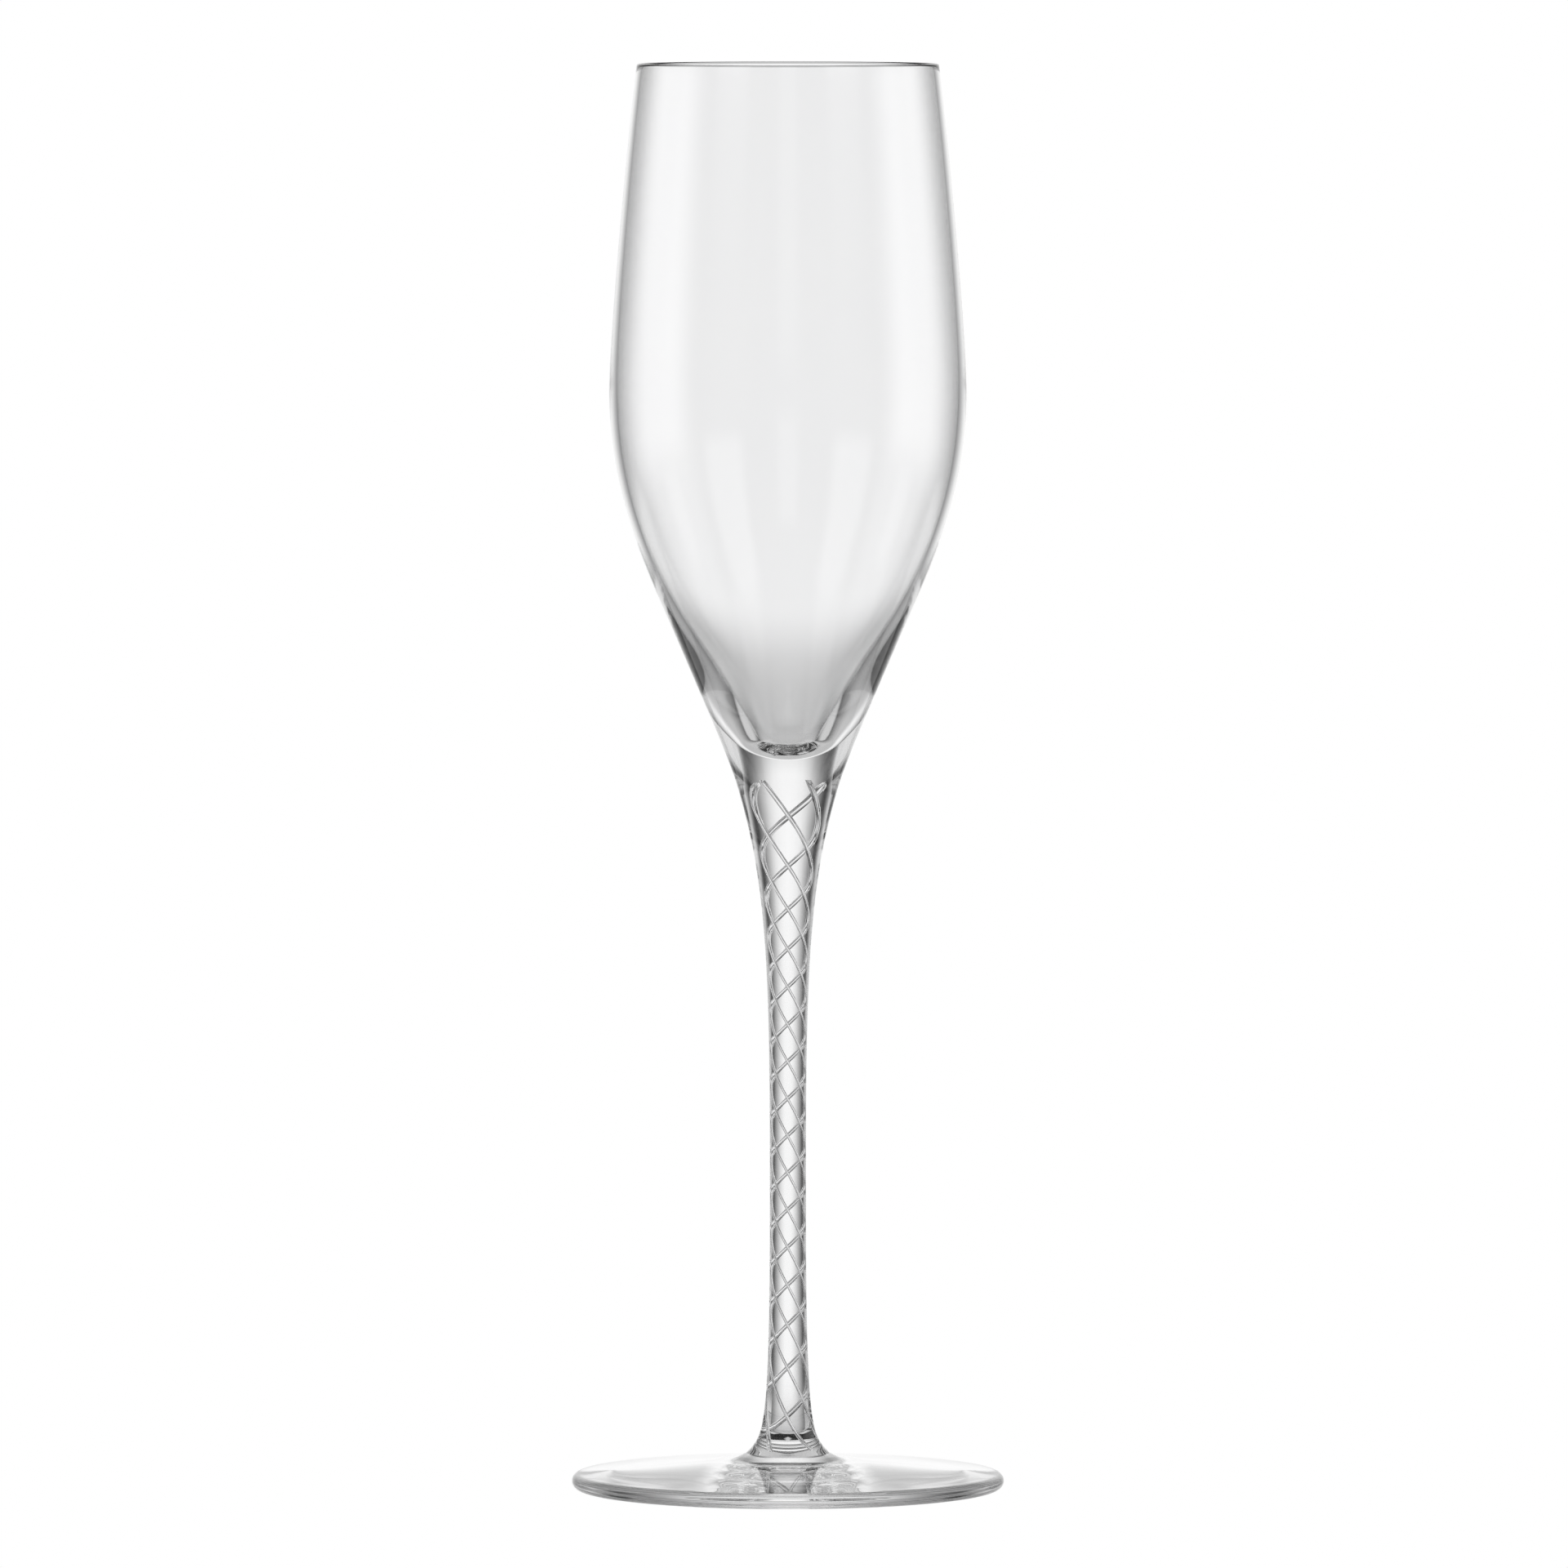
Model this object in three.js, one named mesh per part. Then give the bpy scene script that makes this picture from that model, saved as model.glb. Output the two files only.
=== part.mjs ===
// Champagne flute with an air-twist stem.
//
// Four gathers of clear glass, fused end to end into one rigid body:
//   bowl         blown, thin at the rim and thick at the bottom
//   stem_core    solid rod with four grooves, twisted left-handed
//   stem_casing  clear layer over the core, which closes the grooves into air channels
//   foot         solid disc, slightly hollow underneath
//
// Millimetres, +Z up. The origin is the centre of the ring that the foot stands on.
// Outlines are drawn in the half-plane of radius r and height z, anticlockwise round
// the glass, and turned about Z. A station on an outline is a radius, a height and a
// slope, which is the change of radius per millimetre of height.
import * as THREE from 'three';

// ------------------------------------------------------------------ driving dimensions

const HEIGHT = 255;

// Outside of the bowl, from the rim down to the stem.
const RIM_WALL = 1.05;
const RIM_OUTSIDE = { r: 27, z: HEIGHT - RIM_WALL / 2, slope: -0.12 };
const WIDEST_OUTSIDE = { r: 31.9, z: 196.5, slope: 0 };
const SHOULDER_OUTSIDE = { r: 18.85, z: 150, slope: 0.43 };
const BOWL_JOINT = { r: 9.15, z: 126.3, slope: 0.3 };

// Inside of the bowl: a round bottom, then a short cone, then a long bend to the full width.
const CAVITY_BOTTOM = 132.3;
const CAVITY_BOTTOM_RADIUS = 7.5;
const CONE_SLOPE = 0.66;
const CONE_TOP = 145;
const WIDEST_INSIDE = { r: 30.5, z: 198, slope: 0 };

// Outside of the stem: slim in the middle, flared at both ends.
const SLIM_RADIUS = 3.25;
const SLIM_TOP = 60;
const SLIM_BOTTOM = 50;
const FOOT_JOINT = { r: 7.4, z: 6.4, slope: -0.83 };

// Twisted core and its air channels.
const CHANNELS = 4;
const CORE_TOP = { r: 4.65, z: BOWL_JOINT.z, slope: 0.16 };
const CORE_SLIM_RADIUS = 2;
const CORE_BASE = { r: 4.9, z: FOOT_JOINT.z, slope: -0.6 };
const CORE_CLEARANCE = 0.1;
const GROOVE_ANGLE = THREE.MathUtils.degToRad(13);
const GROOVE_DEPTH = 0.16; // share of the core's radius
const QUARTER_TURN = 6.65; // height of a quarter turn where the twist is tightest
const TIGHTEST_TWIST = 66;
const TWIST_REACH = 51; // distance from there at which a quarter turn has grown by:
const QUARTER_TURN_GROWTH = 2.7;
const FIRST_CHANNEL = THREE.MathUtils.degToRad(-125); // direction at the core's top

// Foot.
const FOOT_RADIUS = 38.7;
const FOOT_EDGE = 2.8; // thickness, fully rounded
const FOOT_TOP_ANGLE = THREE.MathUtils.degToRad(5.2);
const FOOT_FILLET_RADIUS = 13; // where the top starts to rise to the stem
const REST_RING_INSIDE = 31;
const FOOT_HOLLOW = 0.8; // depth of the hollow under the middle

// Facets.
const ROUND_SEGMENTS = 48;
const STEM_SEGMENTS = 32;
const BEND_STEPS = 8;
const ARC_STEPS = 6;
const CORE_STEPS = 64;
const CORE_STEPS_PER_BORE_STEP = 4;

// ------------------------------------------------------------------ outlines

/** Carries an outline on to a station, leaving and arriving along the stations' slopes. */
function bendTo(path, from, to, leave, arrive) {
  const way = Math.sign(to.z - from.z);
  path.bezierCurveTo(
    from.r + way * leave * from.slope, from.z + way * leave,
    to.r - way * arrive * to.slope, to.z - way * arrive,
    to.r, to.z,
  );
}

/** Side of a stem from a flared base to a flared top, slim in between. */
function stemSide(base, slimRadius, top) {
  const slimBottom = { r: slimRadius, z: SLIM_BOTTOM, slope: 0 };
  const slimTop = { r: slimRadius, z: SLIM_TOP, slope: 0 };
  const path = new THREE.Path().moveTo(base.r, base.z);
  bendTo(path, base, slimBottom, 3.3, 42);
  path.lineTo(slimRadius, SLIM_TOP);
  bendTo(path, slimTop, top, 36, 16.5);
  return path;
}

/** Points of an outline: a straight run keeps its two ends, and each bend and arc is stepped. */
function outlinePoints(path) {
  const start = path.curves[0].getPoint(0);
  const rest = path.curves.flatMap((curve) => {
    const bendSteps = curve.isEllipseCurve ? ARC_STEPS : BEND_STEPS;
    return curve.getPoints(curve.isLineCurve ? 1 : bendSteps).slice(1);
  });
  return [start, ...rest];
}

/** Radius of a side at a height, between the points that it was sampled at. */
function radiusAt(side, z) {
  const above = Math.max(1, side.findIndex((point) => point.y >= z));
  const low = side[above - 1];
  const high = side[above];
  return THREE.MathUtils.mapLinear(z, low.y, high.y, low.x, high.x);
}

/** Solid of revolution about Z from an anticlockwise outline. */
function turned(points, segments) {
  return new THREE.LatheGeometry(points, segments).rotateX(Math.PI / 2);
}

// ------------------------------------------------------------------ the four gathers

function bowlGeometry() {
  const path = new THREE.Path().moveTo(0, BOWL_JOINT.z).lineTo(BOWL_JOINT.r, BOWL_JOINT.z);
  bendTo(path, BOWL_JOINT, SHOULDER_OUTSIDE, 4, 12);
  bendTo(path, SHOULDER_OUTSIDE, WIDEST_OUTSIDE, 14.7, 18.6);
  bendTo(path, WIDEST_OUTSIDE, RIM_OUTSIDE, 8, 19.5);

  const rimRound = RIM_WALL / 2;
  path.absarc(RIM_OUTSIDE.r - rimRound, RIM_OUTSIDE.z, rimRound, 0, Math.PI, false);

  const coneHalfAngle = Math.atan(CONE_SLOPE);
  const bottomCentre = CAVITY_BOTTOM + CAVITY_BOTTOM_RADIUS;
  const coneFoot = {
    r: CAVITY_BOTTOM_RADIUS * Math.cos(coneHalfAngle),
    z: bottomCentre - CAVITY_BOTTOM_RADIUS * Math.sin(coneHalfAngle),
  };
  const coneTop = { r: coneFoot.r + CONE_SLOPE * (CONE_TOP - coneFoot.z), z: CONE_TOP, slope: CONE_SLOPE };
  const rimInside = { r: RIM_OUTSIDE.r - RIM_WALL, z: RIM_OUTSIDE.z, slope: RIM_OUTSIDE.slope };
  bendTo(path, rimInside, WIDEST_INSIDE, 19.5, 8);
  bendTo(path, WIDEST_INSIDE, coneTop, 20, 18);
  path.lineTo(coneFoot.r, coneFoot.z);
  path.absarc(0, bottomCentre, CAVITY_BOTTOM_RADIUS, -coneHalfAngle, -Math.PI / 2, true);
  return turned(outlinePoints(path), ROUND_SEGMENTS);
}

/** Heights at which the core is drawn, closer together where it flares into the foot. */
const coreStations = Array.from({ length: CORE_STEPS + 1 }, (_, step) => {
  const share = (step / CORE_STEPS) ** 1.25;
  return THREE.MathUtils.lerp(CORE_BASE.z, CORE_TOP.z, share);
});

const coreSide = stemSide(CORE_BASE, CORE_SLIM_RADIUS, CORE_TOP).getPoints(CORE_STEPS);

/** Direction of the first channel at each station: left-handed, slower towards both ends. */
function channelDirections() {
  const directions = [FIRST_CHANNEL];
  for (let step = CORE_STEPS; step > 0; step -= 1) {
    const low = coreStations[step - 1];
    const high = coreStations[step];
    const offset = ((low + high) / 2 - TIGHTEST_TWIST) / TWIST_REACH;
    const quarterTurn = QUARTER_TURN + QUARTER_TURN_GROWTH * offset ** 4;
    directions.unshift(directions[0] + (Math.PI / 2) * ((high - low) / quarterTurn));
  }
  return directions;
}

/** Section of the core at a radius of 1: a disc with a round groove for each channel. */
function grooveSection() {
  const pitch = (2 * Math.PI) / CHANNELS;
  const grooveSteps = 4;
  const ridgeSteps = 3;
  const points = [];
  for (let channel = 0; channel < CHANNELS; channel += 1) {
    const middle = channel * pitch;
    for (let step = 0; step <= grooveSteps; step += 1) {
      const across = (2 * step) / grooveSteps - 1;
      const radius = 1 - GROOVE_DEPTH * Math.sqrt(1 - across * across);
      const angle = middle + (across * GROOVE_ANGLE) / 2;
      points.push(new THREE.Vector2(radius * Math.cos(angle), radius * Math.sin(angle)));
    }
    for (let step = 1; step < ridgeSteps; step += 1) {
      const angle = middle + GROOVE_ANGLE / 2 + ((pitch - GROOVE_ANGLE) * step) / ridgeSteps;
      points.push(new THREE.Vector2(Math.cos(angle), Math.sin(angle)));
    }
  }
  return new THREE.Shape(points);
}

/** The grooved section drawn up the stem: scaled to the core's side and twisted on the way. */
function coreGeometry() {
  const geometry = new THREE.ExtrudeGeometry(grooveSection(), {
    depth: CORE_STEPS,
    steps: CORE_STEPS,
    bevelEnabled: false,
  });
  const directions = channelDirections();
  const place = geometry.attributes.position;
  const axis = new THREE.Vector3(0, 0, 1);
  const point = new THREE.Vector3();
  for (let index = 0; index < place.count; index += 1) {
    point.fromBufferAttribute(place, index);
    const step = Math.round(point.z);
    const z = coreStations[step];
    point.setZ(0).multiplyScalar(radiusAt(coreSide, z)).applyAxisAngle(axis, directions[step]).setZ(z);
    place.setXYZ(index, point.x, point.y, point.z);
  }
  return geometry;
}

function casingGeometry() {
  const outside = outlinePoints(stemSide(FOOT_JOINT, SLIM_RADIUS, BOWL_JOINT));
  const bore = coreStations
    .filter((_, step) => step % CORE_STEPS_PER_BORE_STEP === 0)
    .map((z) => new THREE.Vector2(radiusAt(coreSide, z) + CORE_CLEARANCE, z));
  return turned([bore[0], ...outside, ...bore.reverse()], STEM_SEGMENTS);
}

function footGeometry() {
  const edgeRound = FOOT_EDGE / 2;
  const edgeCentre = FOOT_RADIUS - edgeRound;
  const topOfEdge = {
    r: edgeCentre + edgeRound * Math.sin(FOOT_TOP_ANGLE),
    z: edgeRound + edgeRound * Math.cos(FOOT_TOP_ANGLE),
  };
  const filletFoot = topOfEdge.z + (topOfEdge.r - FOOT_FILLET_RADIUS) * Math.tan(FOOT_TOP_ANGLE);
  const filletCorner = (FOOT_JOINT.r + FOOT_FILLET_RADIUS) / 2;

  const path = new THREE.Path().moveTo(0, FOOT_HOLLOW);
  path.quadraticCurveTo(REST_RING_INSIDE / 2, FOOT_HOLLOW, REST_RING_INSIDE, 0);
  path.lineTo(edgeCentre, 0);
  path.absarc(edgeCentre, edgeRound, edgeRound, -Math.PI / 2, Math.PI / 2 - FOOT_TOP_ANGLE, false);
  path.lineTo(FOOT_FILLET_RADIUS, filletFoot);
  path.quadraticCurveTo(filletCorner, filletFoot, FOOT_JOINT.r, FOOT_JOINT.z);
  path.lineTo(0, FOOT_JOINT.z);
  return turned(outlinePoints(path), ROUND_SEGMENTS);
}

// ------------------------------------------------------------------ the flute

/** Clear glass with a faint tint of its own for each gather. */
function clearGlass(colour) {
  return new THREE.MeshStandardMaterial({
    color: colour, roughness: 0.03, metalness: 0, transparent: true, opacity: 0.35,
  });
}

function gather(name, geometry, colour) {
  const mesh = new THREE.Mesh(geometry, clearGlass(colour));
  mesh.name = name;
  return mesh;
}

const flute = new THREE.Group();
flute.add(gather('bowl', bowlGeometry(), 0xeef2f3));
flute.add(gather('stem_core', coreGeometry(), 0xe4eaec));
flute.add(gather('stem_casing', casingGeometry(), 0xebf0f1));
flute.add(gather('foot', footGeometry(), 0xe8edee));

export default flute;
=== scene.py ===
"""Champagne flute with an air-twist stem: the fine glass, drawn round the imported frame.

Four fused gathers of clear glass. Where two of them meet, their faces carry a
material that light passes straight through, so that the joint is optically
closed, as fused glass is. The air channels lie between the core and the casing.

Outlines are in the half-plane of radius and height, in metres. A station on an
outline is (radius, height, slope), the slope being radius gained per unit of height.
"""

import math

import bpy
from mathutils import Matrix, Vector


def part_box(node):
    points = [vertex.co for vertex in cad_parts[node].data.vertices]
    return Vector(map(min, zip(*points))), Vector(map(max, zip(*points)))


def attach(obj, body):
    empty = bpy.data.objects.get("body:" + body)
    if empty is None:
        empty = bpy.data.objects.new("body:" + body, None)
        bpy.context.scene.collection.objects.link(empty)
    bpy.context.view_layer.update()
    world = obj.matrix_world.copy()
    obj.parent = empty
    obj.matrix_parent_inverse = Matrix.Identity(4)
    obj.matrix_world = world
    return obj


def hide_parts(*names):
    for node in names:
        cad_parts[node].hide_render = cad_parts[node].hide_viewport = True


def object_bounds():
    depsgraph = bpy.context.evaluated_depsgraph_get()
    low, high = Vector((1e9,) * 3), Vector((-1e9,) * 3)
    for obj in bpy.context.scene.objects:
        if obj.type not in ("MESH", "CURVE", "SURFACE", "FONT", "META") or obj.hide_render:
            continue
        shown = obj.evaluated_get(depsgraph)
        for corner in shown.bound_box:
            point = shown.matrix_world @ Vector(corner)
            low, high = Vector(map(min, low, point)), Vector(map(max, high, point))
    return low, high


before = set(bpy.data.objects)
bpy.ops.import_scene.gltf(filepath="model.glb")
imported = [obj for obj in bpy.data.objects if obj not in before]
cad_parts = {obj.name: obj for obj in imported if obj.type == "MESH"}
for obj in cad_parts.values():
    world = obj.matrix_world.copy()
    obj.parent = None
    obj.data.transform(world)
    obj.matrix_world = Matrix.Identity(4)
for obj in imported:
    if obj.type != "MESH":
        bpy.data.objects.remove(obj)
cad_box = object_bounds()

MM = 0.001

# ------------------------------------------------------------ sizes from the frame

HEIGHT = cad_box[1][2]
FOOT_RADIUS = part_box("foot")[1][0]
WIDEST_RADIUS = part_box("bowl")[1][0]
JOINT_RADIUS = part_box("stem_casing")[1][0]
JOINT_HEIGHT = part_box("bowl")[0][2]
FOOT_JOINT_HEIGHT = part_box("foot")[1][2]

# ------------------------------------------------------------ sizes of the fine glass

RIM_WALL = 1.05 * MM
RIM_OUTSIDE = (27 * MM, HEIGHT - RIM_WALL / 2, -0.12)
WIDEST_OUTSIDE = (WIDEST_RADIUS, 196.5 * MM, 0)
SHOULDER_OUTSIDE = (18.85 * MM, 150 * MM, 0.43)
BOWL_JOINT = (JOINT_RADIUS, JOINT_HEIGHT, 0.3)

# How far each bend goes straight on as it leaves its first station, and before its last.
NECK_REACH = (4 * MM, 12 * MM)
SIDE_REACH = (14.7 * MM, 18.6 * MM)
MOUTH_REACH = (8 * MM, 19.5 * MM)
INSIDE_REACH = (20 * MM, 18 * MM)
STEM_BASE_REACH = (3.3 * MM, 42 * MM)
STEM_TOP_REACH = (36 * MM, 16.5 * MM)

CAVITY_BOTTOM = 132.3 * MM
CAVITY_BOTTOM_RADIUS = 7.5 * MM
CONE_SLOPE = 0.66
CONE_TOP = 145 * MM
WIDEST_INSIDE = (30.5 * MM, 198 * MM, 0)

SLIM_RADIUS = 3.25 * MM
SLIM_TOP = 60 * MM
SLIM_BOTTOM = 50 * MM
FOOT_JOINT = (7.4 * MM, FOOT_JOINT_HEIGHT, -0.83)

# The core stands up into the bowl in a shallow cone.
CORE_CROWN = 1.7 * MM
CORE_TOP = (4.65 * MM, JOINT_HEIGHT + CORE_CROWN, 0.16)
CORE_SLIM_RADIUS = 2 * MM
CORE_BASE = (4.9 * MM, FOOT_JOINT_HEIGHT, -0.6)

CHANNELS = 4
CHANNEL_ANGLE = math.radians(13)
CHANNEL_DEPTH = 0.11
CHANNEL_COVER = 0.09
CHANNEL_END = 0.6 * MM
CHANNEL_INSET = 0.15 * MM
QUARTER_TURN = 6.65 * MM
TIGHTEST_TWIST = 66 * MM
TWIST_REACH = 51 * MM
QUARTER_TURN_GROWTH = 2.7 * MM
FRONT_CHANNEL_HEIGHT = 63.5 * MM

FOOT_EDGE = 2.8 * MM
FOOT_TOP_ANGLE = math.radians(5.2)
FOOT_FILLET_RADIUS = 13 * MM
REST_RING_INSIDE = 31 * MM
FOOT_HOLLOW = 0.8 * MM
HOLLOW_EASING = (0.8, 0.2)

GLASS_SEGMENTS = 144
JOINT_STEPS = 4
NECK_STEPS = 28
SIDE_STEPS = 48
MOUTH_STEPS = 44
RIM_STEPS = 14
INSIDE_STEPS = 60
CONE_STEPS = 10
CAVITY_BOTTOM_STEPS = 16
HOLLOW_STEPS = 20
REST_RING_STEPS = 3
FOOT_EDGE_STEPS = 20
FOOT_TOP_STEPS = 16
FOOT_FILLET_STEPS = 12

STEM_SIDE_STEPS = 60
STEM_STATIONS = 220
STATION_CROWDING = 1.2
CHANNEL_STEPS = 8
RIDGE_STEPS = 14
CHANNEL_VERTICES = CHANNEL_STEPS + RIDGE_STEPS
RING_VERTICES = CHANNELS * CHANNEL_VERTICES

GLASS = 0
FUSED = 1

# ------------------------------------------------------------ outlines


class Outline:
    """Points of an outline, and the material slot of the run that ends at each one."""

    def __init__(self, radius, height):
        self.points = [(radius, height)]
        self.slots = []

    def add(self, radius, height, slot=GLASS):
        self.points.append((radius, height))
        self.slots.append(slot)

    def line(self, radius, height, steps=1, slot=GLASS):
        start_radius, start_height = self.points[-1]
        for step in range(1, steps + 1):
            share = step / steps
            self.add(
                start_radius + (radius - start_radius) * share,
                start_height + (height - start_height) * share,
                slot,
            )

    def bezier(self, control_a, control_b, end, steps):
        start = self.points[-1]
        for step in range(1, steps + 1):
            t = step / steps
            weights = ((1 - t) ** 3, 3 * t * (1 - t) ** 2, 3 * t * t * (1 - t), t**3)
            corners = (start, control_a, control_b, end)
            self.add(*(sum(w * c[axis] for w, c in zip(weights, corners)) for axis in (0, 1)))

    def bend(self, start, end, reach, steps):
        """Curve from one station to another, leaving and arriving along their slopes."""
        leave, arrive = reach
        way = math.copysign(1, end[1] - start[1])
        self.bezier(
            (start[0] + way * leave * start[2], start[1] + way * leave),
            (end[0] - way * arrive * end[2], end[1] - way * arrive),
            end[:2],
            steps,
        )

    def arc(self, centre, radius, start_angle, end_angle, steps):
        for step in range(1, steps + 1):
            angle = start_angle + (end_angle - start_angle) * step / steps
            self.add(centre[0] + radius * math.cos(angle), centre[1] + radius * math.sin(angle))


def stem_side(base, slim_radius, top):
    """Side of a stem from a flared base to a flared top, slim in between."""
    slim_bottom = (slim_radius, SLIM_BOTTOM, 0)
    slim_top = (slim_radius, SLIM_TOP, 0)
    side = Outline(base[0], base[1])
    side.bend(base, slim_bottom, STEM_BASE_REACH, STEM_SIDE_STEPS)
    side.line(slim_radius, SLIM_TOP)
    side.bend(slim_top, top, STEM_TOP_REACH, STEM_SIDE_STEPS)
    return side.points


def radius_at(side, height):
    """Radius of a side at a height, between the points that it was sampled at."""
    for low, high in zip(side, side[1:]):
        if height <= high[1]:
            break
    share = (height - low[1]) / (high[1] - low[1])
    return low[0] + (high[0] - low[0]) * share


# ------------------------------------------------------------ meshes


def add_piece(name, vertices, faces, slots, materials, sharp_rings=()):
    """Makes a smooth piece; sharp_rings are sets of vertices whose shared edges stay crisp."""
    mesh = bpy.data.meshes.new(name)
    mesh.from_pydata(vertices, [], faces)
    for material in materials:
        mesh.materials.append(material)
    mesh.polygons.foreach_set("material_index", slots)
    mesh.polygons.foreach_set("use_smooth", [True] * len(faces))
    for edge in mesh.edges:
        if any(edge.vertices[0] in ring and edge.vertices[1] in ring for ring in sharp_rings):
            edge.use_edge_sharp = True
    mesh.update()
    piece = bpy.data.objects.new(name, mesh)
    bpy.context.collection.objects.link(piece)
    return piece


def turned_piece(name, outline, segments, materials):
    """Solid of revolution about Z from an outline that starts and ends on the axis."""
    vertices = []
    rings = []
    for radius, height in outline.points:
        if radius < 1e-9:
            rings.append([len(vertices)])
            vertices.append((0, 0, height))
            continue
        ring = []
        for segment in range(segments):
            angle = 2 * math.pi * segment / segments
            ring.append(len(vertices))
            vertices.append((radius * math.cos(angle), radius * math.sin(angle), height))
        rings.append(ring)

    faces = []
    slots = []
    for lower, upper, slot in zip(rings, rings[1:], outline.slots):
        for segment in range(segments):
            after = (segment + 1) % segments
            if len(lower) == 1:
                faces.append((lower[0], upper[after], upper[segment]))
            elif len(upper) == 1:
                faces.append((lower[segment], lower[after], upper[0]))
            else:
                faces.append((lower[segment], lower[after], upper[after], upper[segment]))
            slots.append(slot)

    changes = [
        set(rings[index + 1])
        for index, (slot, following) in enumerate(zip(outline.slots, outline.slots[1:]))
        if slot != following
    ]
    return add_piece(name, vertices, faces, slots, materials, changes)


# ------------------------------------------------------------ the bowl and the foot


def bowl_outline():
    outline = Outline(0, CORE_TOP[1])
    outline.line(CORE_TOP[0], CORE_TOP[1], JOINT_STEPS, FUSED)
    outline.line(BOWL_JOINT[0], BOWL_JOINT[1], JOINT_STEPS, FUSED)
    outline.bend(BOWL_JOINT, SHOULDER_OUTSIDE, NECK_REACH, NECK_STEPS)
    outline.bend(SHOULDER_OUTSIDE, WIDEST_OUTSIDE, SIDE_REACH, SIDE_STEPS)
    outline.bend(WIDEST_OUTSIDE, RIM_OUTSIDE, MOUTH_REACH, MOUTH_STEPS)

    rim_round = RIM_WALL / 2
    rim_centre = (RIM_OUTSIDE[0] - rim_round, RIM_OUTSIDE[1])
    outline.arc(rim_centre, rim_round, 0, math.pi, RIM_STEPS)

    half_angle = math.atan(CONE_SLOPE)
    bottom_centre = (0, CAVITY_BOTTOM + CAVITY_BOTTOM_RADIUS)
    cone_foot = (
        CAVITY_BOTTOM_RADIUS * math.cos(half_angle),
        bottom_centre[1] - CAVITY_BOTTOM_RADIUS * math.sin(half_angle),
    )
    cone_top = (cone_foot[0] + CONE_SLOPE * (CONE_TOP - cone_foot[1]), CONE_TOP, CONE_SLOPE)
    rim_inside = (RIM_OUTSIDE[0] - RIM_WALL, RIM_OUTSIDE[1], RIM_OUTSIDE[2])
    outline.bend(rim_inside, WIDEST_INSIDE, MOUTH_REACH[::-1], MOUTH_STEPS)
    outline.bend(WIDEST_INSIDE, cone_top, INSIDE_REACH, INSIDE_STEPS)
    outline.line(cone_foot[0], cone_foot[1], CONE_STEPS)
    outline.arc(bottom_centre, CAVITY_BOTTOM_RADIUS, -half_angle, -math.pi / 2, CAVITY_BOTTOM_STEPS)
    outline.points[-1] = (0, CAVITY_BOTTOM)
    return outline


def foot_outline():
    edge_round = FOOT_EDGE / 2
    edge_centre = (FOOT_RADIUS - edge_round, edge_round)
    top_of_edge = (
        edge_centre[0] + edge_round * math.sin(FOOT_TOP_ANGLE),
        edge_centre[1] + edge_round * math.cos(FOOT_TOP_ANGLE),
    )
    fillet_foot = top_of_edge[1] + (top_of_edge[0] - FOOT_FILLET_RADIUS) * math.tan(FOOT_TOP_ANGLE)
    fillet_corner = ((FOOT_JOINT[0] + FOOT_FILLET_RADIUS) / 2, fillet_foot)

    outline = Outline(0, FOOT_HOLLOW)
    hollow_middle = (REST_RING_INSIDE / 2, FOOT_HOLLOW)
    hollow_side = (REST_RING_INSIDE * HOLLOW_EASING[0], FOOT_HOLLOW * HOLLOW_EASING[1])
    outline.bezier(hollow_middle, hollow_side, (REST_RING_INSIDE, 0), HOLLOW_STEPS)
    outline.line(edge_centre[0], 0, REST_RING_STEPS)
    outline.arc(edge_centre, edge_round, -math.pi / 2, math.pi / 2 - FOOT_TOP_ANGLE, FOOT_EDGE_STEPS)
    outline.line(FOOT_FILLET_RADIUS, fillet_foot, FOOT_TOP_STEPS)
    outline.bezier(fillet_corner, fillet_corner, FOOT_JOINT[:2], FOOT_FILLET_STEPS)
    outline.line(0, FOOT_JOINT_HEIGHT, JOINT_STEPS, FUSED)
    return outline


# ------------------------------------------------------------ the stem


def stem_stations():
    """Heights of the stem's rings, closer together towards the foot."""
    length = CORE_TOP[1] - CORE_BASE[1]
    shares = [step / STEM_STATIONS for step in range(STEM_STATIONS + 1)]
    return [CORE_BASE[1] + length * share**STATION_CROWDING for share in shares]


def twist_directions(stations):
    """Direction of the first channel at each station: left-handed, slower at both ends."""
    directions = [0.0]
    for low, high in zip(stations, stations[1:]):
        offset = ((low + high) / 2 - TIGHTEST_TWIST) / TWIST_REACH
        quarter_turn = QUARTER_TURN + QUARTER_TURN_GROWTH * offset**4
        directions.append(directions[-1] - math.pi / 2 * (high - low) / quarter_turn)
    front = min(range(len(stations)), key=lambda step: abs(stations[step] - FRONT_CHANNEL_HEIGHT))
    start = -math.pi / 2 - directions[front]
    return [start + direction for direction in directions]


def channel_openings(stations):
    """How far open the channels are at each station, from 0 at both ends to 1."""
    openings = []
    for height in stations:
        from_end = min(height - stations[0], stations[-1] - height) - CHANNEL_INSET
        share = min(max(from_end / CHANNEL_END, 0), 1)
        openings.append(math.sqrt(1 - (1 - share) ** 2))
    return openings


def channel_ring():
    """Angle round the core, and depth from 0 to 1 across a channel, of each ring vertex."""
    pitch = 2 * math.pi / CHANNELS
    ring = []
    for channel in range(CHANNELS):
        middle = channel * pitch
        for step in range(CHANNEL_STEPS):
            turn = math.pi * step / CHANNEL_STEPS
            ring.append((middle - math.cos(turn) * CHANNEL_ANGLE / 2, math.sin(turn)))
        for step in range(RIDGE_STEPS):
            share = step / RIDGE_STEPS
            ring.append((middle + CHANNEL_ANGLE / 2 + (pitch - CHANNEL_ANGLE) * share, 0.0))
    return ring


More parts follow.
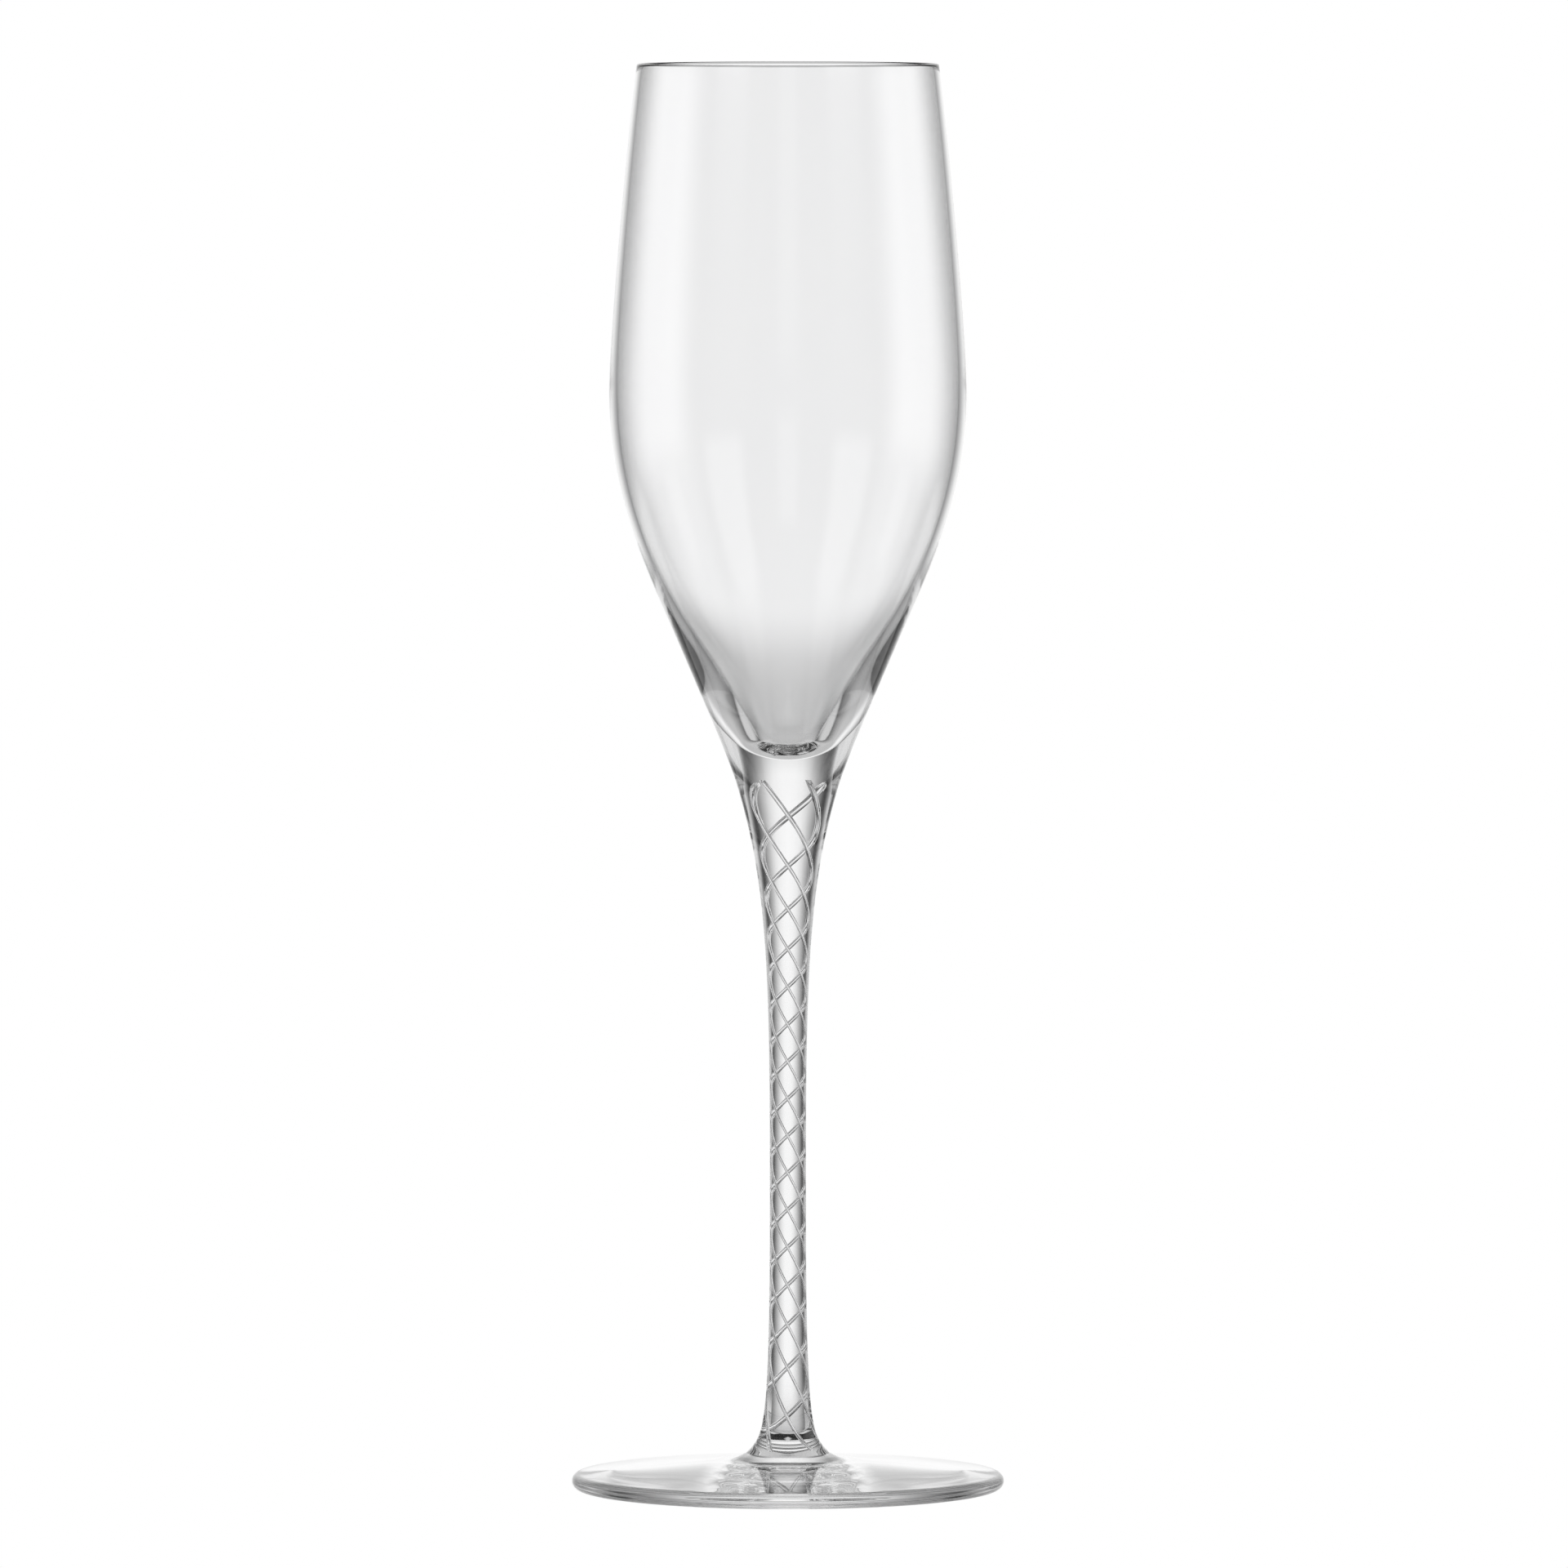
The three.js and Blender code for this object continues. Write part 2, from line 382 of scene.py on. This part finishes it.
def twisted_rings(stations, directions, openings, swell):
    """Rings of vertices on the core's side, which the channels leave outwards by swell."""
    side = stem_side(CORE_BASE, CORE_SLIM_RADIUS, CORE_TOP)
    ring = channel_ring()
    vertices = []
    for height, direction, opening in zip(stations, directions, openings):
        radius = radius_at(side, height)
        for angle, depth in ring:
            reach = radius * (1 + swell * depth * opening)
            turn = direction + angle
            vertices.append((reach * math.cos(turn), reach * math.sin(turn), height))
    return vertices


def ring_faces(first, ring_count):
    """Outward faces between neighbouring rings, of which the first starts at a vertex."""
    faces = []
    for station in range(ring_count - 1):
        low = first + station * RING_VERTICES
        high = low + RING_VERTICES
        for step in range(RING_VERTICES):
            after = (step + 1) % RING_VERTICES
            faces.append((low + step, low + after, high + after, high + step))
    return faces


def twisted_slots(openings):
    """The slot of each face between the core and the casing: glass where there is air."""
    slots = []
    for low, high in zip(openings, openings[1:]):
        for step in range(RING_VERTICES):
            in_channel = step % CHANNEL_VERTICES < CHANNEL_STEPS
            slots.append(GLASS if in_channel and (low > 0 or high > 0) else FUSED)
    return slots


def channel_edges():
    """The two edges of each channel and both end rings, as sets of vertices."""
    edges = []
    for channel in range(CHANNELS):
        for side in (channel * CHANNEL_VERTICES, channel * CHANNEL_VERTICES + CHANNEL_STEPS):
            edges.append({station * RING_VERTICES + side for station in range(STEM_STATIONS + 1)})
    for station in (0, STEM_STATIONS):
        edges.append(set(range(station * RING_VERTICES, (station + 1) * RING_VERTICES)))
    return edges


def core_piece(stations, directions, openings, materials):
    """The grooved core, closed at both ends."""
    vertices = twisted_rings(stations, directions, openings, -CHANNEL_DEPTH)
    faces = ring_faces(0, len(stations))
    slots = twisted_slots(openings)
    base_centre = len(vertices)
    top_centre = base_centre + 1
    vertices.extend([(0, 0, stations[0]), (0, 0, stations[-1])])
    top_ring = STEM_STATIONS * RING_VERTICES
    for step in range(RING_VERTICES):
        after = (step + 1) % RING_VERTICES
        faces.append((base_centre, after, step))
        faces.append((top_centre, top_ring + step, top_ring + after))
        slots.extend([FUSED, FUSED])
    return add_piece("stem_core_glass", vertices, faces, slots, materials, channel_edges())


def casing_piece(stations, directions, openings, materials):
    """The clear gather round the core, which closes its grooves into air channels."""
    vertices = twisted_rings(stations, directions, openings, CHANNEL_COVER)
    faces = [face[::-1] for face in ring_faces(0, len(stations))]
    slots = twisted_slots(openings)

    # The outside turns only so far that its vertices line up with the bore's at both ends.
    pitch = 2 * math.pi / CHANNELS
    twist = directions[-1] - directions[0]
    whole_pitches = round(twist / pitch)
    leftover = twist - whole_pitches * pitch
    shift = whole_pitches * CHANNEL_VERTICES % RING_VERTICES

    side = stem_side(FOOT_JOINT, SLIM_RADIUS, BOWL_JOINT)
    outside = len(vertices)
    for radius, height in side:
        share = (height - side[0][1]) / (side[-1][1] - side[0][1])
        for angle, _ in channel_ring():
            turn = directions[0] + leftover * share + angle
            vertices.append((radius * math.cos(turn), radius * math.sin(turn), height))
    outside_faces = ring_faces(outside, len(side))
    faces.extend(outside_faces)
    slots.extend([GLASS] * len(outside_faces))

    bore_top = STEM_STATIONS * RING_VERTICES
    outside_top = outside + (len(side) - 1) * RING_VERTICES
    for step in range(RING_VERTICES):
        after = (step + 1) % RING_VERTICES
        faces.append((step, after, outside + after, outside + step))
        inner = bore_top + (step - shift) % RING_VERTICES
        inner_after = bore_top + (after - shift) % RING_VERTICES
        faces.append((outside_top + step, outside_top + after, inner_after, inner))
        slots.extend([FUSED, FUSED])

    crisp = channel_edges()
    for ring_start in (outside, outside_top):
        crisp.append(set(range(ring_start, ring_start + RING_VERTICES)))
    return add_piece("stem_casing_glass", vertices, faces, slots, materials, crisp)


# ------------------------------------------------------------ materials

GLASS_INDEX = 1.52
GLASS_TINT = (0.984, 0.985, 0.99)
WAVE_SCALE = 45
WAVE_DETAIL = 2
HAZE_FROM = 0.35
HAZE_TO = 0.75
MOST_HAZE = 0.012


def clear_glass(name):
    """Colourless fire-polished glass: a breath of tint, and the faint waves of hand work."""
    material = bpy.data.materials.new(name)
    material.use_nodes = True
    nodes = material.node_tree.nodes
    links = material.node_tree.links
    shader = nodes["Principled BSDF"]
    shader.inputs["IOR"].default_value = GLASS_INDEX
    shader.inputs["Transmission Weight"].default_value = 1.0

    place = nodes.new("ShaderNodeTexCoord")
    waves = nodes.new("ShaderNodeTexNoise")
    waves.inputs["Scale"].default_value = WAVE_SCALE
    waves.inputs["Detail"].default_value = WAVE_DETAIL
    links.new(place.outputs["Object"], waves.inputs["Vector"])

    colour = nodes.new("ShaderNodeValToRGB")
    colour.color_ramp.elements[0].color = (*GLASS_TINT, 1)
    colour.color_ramp.elements[1].color = (1, 1, 1, 1)
    links.new(waves.outputs["Fac"], colour.inputs["Fac"])
    links.new(colour.outputs["Color"], shader.inputs["Base Color"])

    haze = nodes.new("ShaderNodeMapRange")
    haze.inputs["From Min"].default_value = HAZE_FROM
    haze.inputs["From Max"].default_value = HAZE_TO
    haze.inputs["To Min"].default_value = 0.0
    haze.inputs["To Max"].default_value = MOST_HAZE
    links.new(waves.outputs["Fac"], haze.inputs["Value"])
    links.new(haze.outputs["Result"], shader.inputs["Roughness"])
    return material


def fused_joint():
    """A joint face inside the glass: light goes straight through it."""
    material = bpy.data.materials.new("fused_joint")
    material.use_nodes = True
    nodes = material.node_tree.nodes
    nodes.remove(nodes["Principled BSDF"])
    clear = nodes.new("ShaderNodeBsdfTransparent")
    material.node_tree.links.new(clear.outputs["BSDF"], nodes["Material Output"].inputs["Surface"])
    return material


# ------------------------------------------------------------ camera

CAMERA_DISTANCE = 2.924
CAMERA_HEIGHT = 0.2933
CAMERA_PITCH = math.radians(3.268)
CAMERA_ASIDE = -0.7 * MM
CAMERA_LENS = 376.3
CAMERA_SENSOR = 36
CAMERA_NEAR = 0.1
CAMERA_FAR = 20


def add_camera():
    data = bpy.data.cameras.new("camera")
    data.lens = CAMERA_LENS
    data.sensor_width = CAMERA_SENSOR
    data.clip_start = CAMERA_NEAR
    data.clip_end = CAMERA_FAR
    camera = bpy.data.objects.new("camera", data)
    camera.location = (CAMERA_ASIDE, -CAMERA_DISTANCE, CAMERA_HEIGHT)
    camera.rotation_euler = (math.pi / 2 - CAMERA_PITCH, 0, 0)
    bpy.context.collection.objects.link(camera)
    bpy.context.scene.camera = camera


# ------------------------------------------------------------ floor and light

# The paper is seen only directly. What the glass bends and reflects is the studio
# round it, which the world holds: soft panels over a table that is lit behind the
# glass. It suits this camera. Seen from the back, the glass looks nearly black.
PAPER_RADIUS = 4.0
PAPER_HEIGHT = 4.0
PAPER_SWEEP = 1.0
PAPER_SEGMENTS = 96
PAPER_SWEEP_STEPS = 12

TABLE_LEVEL = 0.02
TABLE_EDGE = (-20, -8)
CEILING_LEVEL = 0.4
CEILING_START = (30, 55)
DIM_LEVEL = 0.04

# Panels, alike on both sides of the line of sight, in degrees. Each has the azimuth of
# its middle, how far from it the light is full and where it ends, the heights between
# which its lower and its upper edge fade, and its level.
BACK_PANEL = (0, 4, 43, TABLE_EDGE, (20, 34), 0.96)
SIDE_PANEL = (80, 14, 38, TABLE_EDGE, (45, 65), 0.75)
TABLE_LIGHT = (0, 14, 42, (-100, -95), TABLE_EDGE, 0.54)

# The last two strips light the table for diagonal views.
STRIPS = [(middle, 5, 9, (-40, -32), (-12, 0), 0.35) for middle in (0, 90, 180)] + [
    (45, 8, 13, (-60, -50), (-16, -8), 0.62),
    (135, 9, 18, (-60, -50), (-16, -8), 0.62),
]


def calculate(tree, operation, *values):
    """A math node, with its inputs linked or set."""
    node = tree.nodes.new("ShaderNodeMath")
    node.operation = operation
    for socket, value in zip(node.inputs, values):
        if isinstance(value, (int, float)):
            socket.default_value = value
        else:
            tree.links.new(value, socket)
    return node.outputs[0]


def fade(tree, value, start, end):
    """Smooth step from 0 at start to 1 at end; either of the two may be the larger."""
    node = tree.nodes.new("ShaderNodeMapRange")
    node.interpolation_type = "SMOOTHSTEP"
    tree.links.new(value, node.inputs["Value"])
    node.inputs["From Min"].default_value = start
    node.inputs["From Max"].default_value = end
    return node.outputs["Result"]


def panel(tree, around, above, shape):
    """Light of a panel in a direction: how far round it lies, and how far above level."""
    middle, full, end, lower, upper, level = shape
    aside = calculate(tree, "ABSOLUTE", calculate(tree, "SUBTRACT", around, middle))
    light = calculate(tree, "MULTIPLY", fade(tree, aside, end, full), level)
    light = calculate(tree, "MULTIPLY", light, fade(tree, above, *lower))
    return calculate(tree, "MULTIPLY", light, fade(tree, above, *reversed(upper)))


def add_studio():
    world = bpy.data.worlds.new("studio")
    bpy.context.scene.world = world
    world.use_nodes = True
    tree = world.node_tree

    direction = tree.nodes.new("ShaderNodeTexCoord")
    parts = tree.nodes.new("ShaderNodeSeparateXYZ")
    tree.links.new(direction.outputs["Generated"], parts.inputs["Vector"])
    around = calculate(tree, "ARCTAN2", parts.outputs["X"], parts.outputs["Y"])
    around = calculate(tree, "ABSOLUTE", calculate(tree, "DEGREES", around))
    above = calculate(tree, "DEGREES", calculate(tree, "ARCSINE", parts.outputs["Z"]))

    light = calculate(tree, "MULTIPLY", fade(tree, above, *CEILING_START), CEILING_LEVEL - DIM_LEVEL)
    dim = calculate(tree, "MULTIPLY", fade(tree, above, *TABLE_EDGE), DIM_LEVEL - TABLE_LEVEL)
    light = calculate(tree, "ADD", light, calculate(tree, "ADD", dim, TABLE_LEVEL))
    for shape in (BACK_PANEL, SIDE_PANEL, TABLE_LIGHT):
        light = calculate(tree, "ADD", light, panel(tree, around, above, shape))
    for shape in STRIPS:
        light = calculate(tree, "MAXIMUM", light, panel(tree, around, above, shape))
    tree.links.new(light, tree.nodes["Background"].inputs["Color"])


def add_paper():
    """A white floor that curves up into a wall, seen by the camera alone."""
    material = bpy.data.materials.new("white_paper")
    material.use_nodes = True
    nodes = material.node_tree.nodes
    nodes.remove(nodes["Principled BSDF"])
    glow = nodes.new("ShaderNodeEmission")
    glow.inputs["Color"].default_value = (1, 1, 1, 1)
    material.node_tree.links.new(glow.outputs["Emission"], nodes["Material Output"].inputs["Surface"])

    outline = Outline(0, 0)
    outline.line(PAPER_RADIUS - PAPER_SWEEP, 0)
    outline.arc((PAPER_RADIUS - PAPER_SWEEP, PAPER_SWEEP), PAPER_SWEEP, -math.pi / 2, 0, PAPER_SWEEP_STEPS)
    outline.line(PAPER_RADIUS, PAPER_HEIGHT)
    paper = turned_piece("paper", outline, PAPER_SEGMENTS, [material])
    paper.visible_diffuse = False
    paper.visible_glossy = False
    paper.visible_transmission = False
    paper.visible_volume_scatter = False
    paper.visible_shadow = False


# ------------------------------------------------------------ the scene

BOUNCES = 40

add_camera()
add_studio()
add_paper()

scene = bpy.context.scene
scene.view_settings.view_transform = "Standard"
scene.cycles.max_bounces = BOUNCES
scene.cycles.transmission_bounces = BOUNCES
scene.cycles.glossy_bounces = BOUNCES
scene.cycles.transparent_max_bounces = BOUNCES

fused = fused_joint()
bowl_glass = clear_glass("bowl_glass")
core_glass = clear_glass("stem_core_glass")
casing_glass = clear_glass("stem_casing_glass")
foot_glass = clear_glass("foot_glass")

bowl = turned_piece("bowl_glass", bowl_outline(), GLASS_SEGMENTS, [bowl_glass, fused])
foot = turned_piece("foot_glass", foot_outline(), GLASS_SEGMENTS, [foot_glass, fused])
stations = stem_stations()
directions = twist_directions(stations)
openings = channel_openings(stations)
core = core_piece(stations, directions, openings, [core_glass, fused])
casing = casing_piece(stations, directions, openings, [casing_glass, fused])

for piece, node, slot in (
    (bowl, "bowl", "clear_glass"),
    (core, "stem_core", "core_glass"),
    (casing, "stem_casing", "clear_glass"),
    (foot, "foot", "clear_glass"),
):
    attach(piece, "root")
    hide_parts(node)
